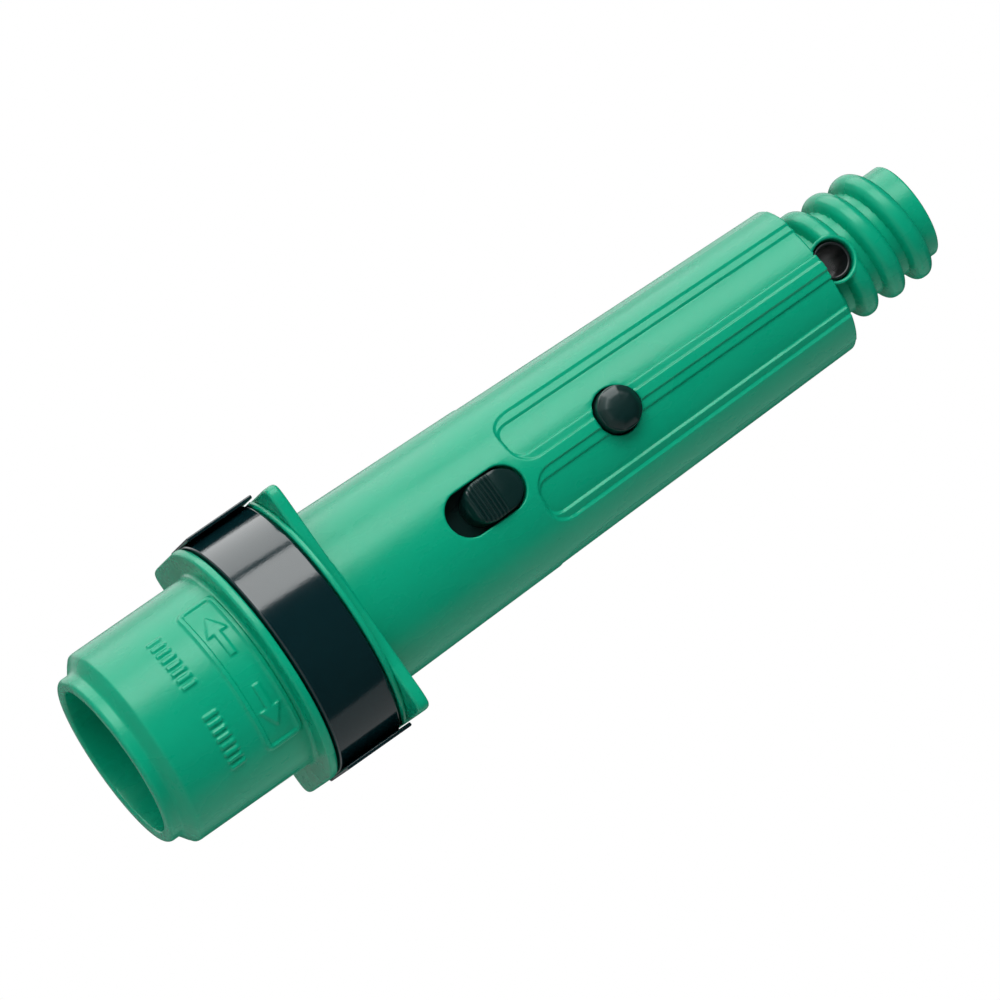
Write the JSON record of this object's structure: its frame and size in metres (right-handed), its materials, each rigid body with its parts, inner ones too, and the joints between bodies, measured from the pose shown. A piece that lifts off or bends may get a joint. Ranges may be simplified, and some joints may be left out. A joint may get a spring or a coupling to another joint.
{
  "type": "telescopic pole locking cone",
  "caption": "Tapered plastic pole-tip adapter with a side clip, push button, slide switch and screw thread.",
  "frame": {"origin": "centre of the pole socket's mouth, on the lip face it stands on", "axes": "+Z along the axis from the pole socket to the threaded tip, -Y out of the face with the push button and slide switch, +X across the clip's two push pads"},
  "size_m": [0.0406, 0.0401, 0.1463],
  "materials": {
    "green_plastic": "satin moulded polypropylene",
    "black_plastic": "glossy moulded black plastic",
    "control_plastic": "satin moulded black plastic",
    "inner_plastic": "plain moulded dark grey plastic",
    "spring_steel": "bright drawn steel"
  },
  "bodies": {
    "body": {"cone_body": "green_plastic", "mechanism_carrier": "inner_plastic", "pole_stop": "inner_plastic", "cross_hole_sleeve": "inner_plastic", "detent_ball": "spring_steel", "detent_spring": "spring_steel", "button_spring": "spring_steel"},
    "clip": {"retaining_clip": "black_plastic"},
    "button": {"release_button": "control_plastic"},
    "slide": {"slide_knob": "control_plastic", "slide_lock_bar": "spring_steel"}
  },
  "joints": [
    {"name": "button_press", "type": "slide", "parent": "body", "child": "button", "axis": [0, 1, 0], "range_m": [0, 0.0024], "stiffness_N_per_m": 600, "springref_m": -0.002, "deforming": ["button_spring"]},
    {"name": "lock_slide", "type": "slide", "parent": "body", "child": "slide", "axis": [0, 0, -1], "range_m": [0, 0.0031]},
    {"name": "clip_release", "type": "slide", "parent": "body", "child": "clip", "axis": [0, -1, 0], "range_m": [0, 0.012]}
  ]
}
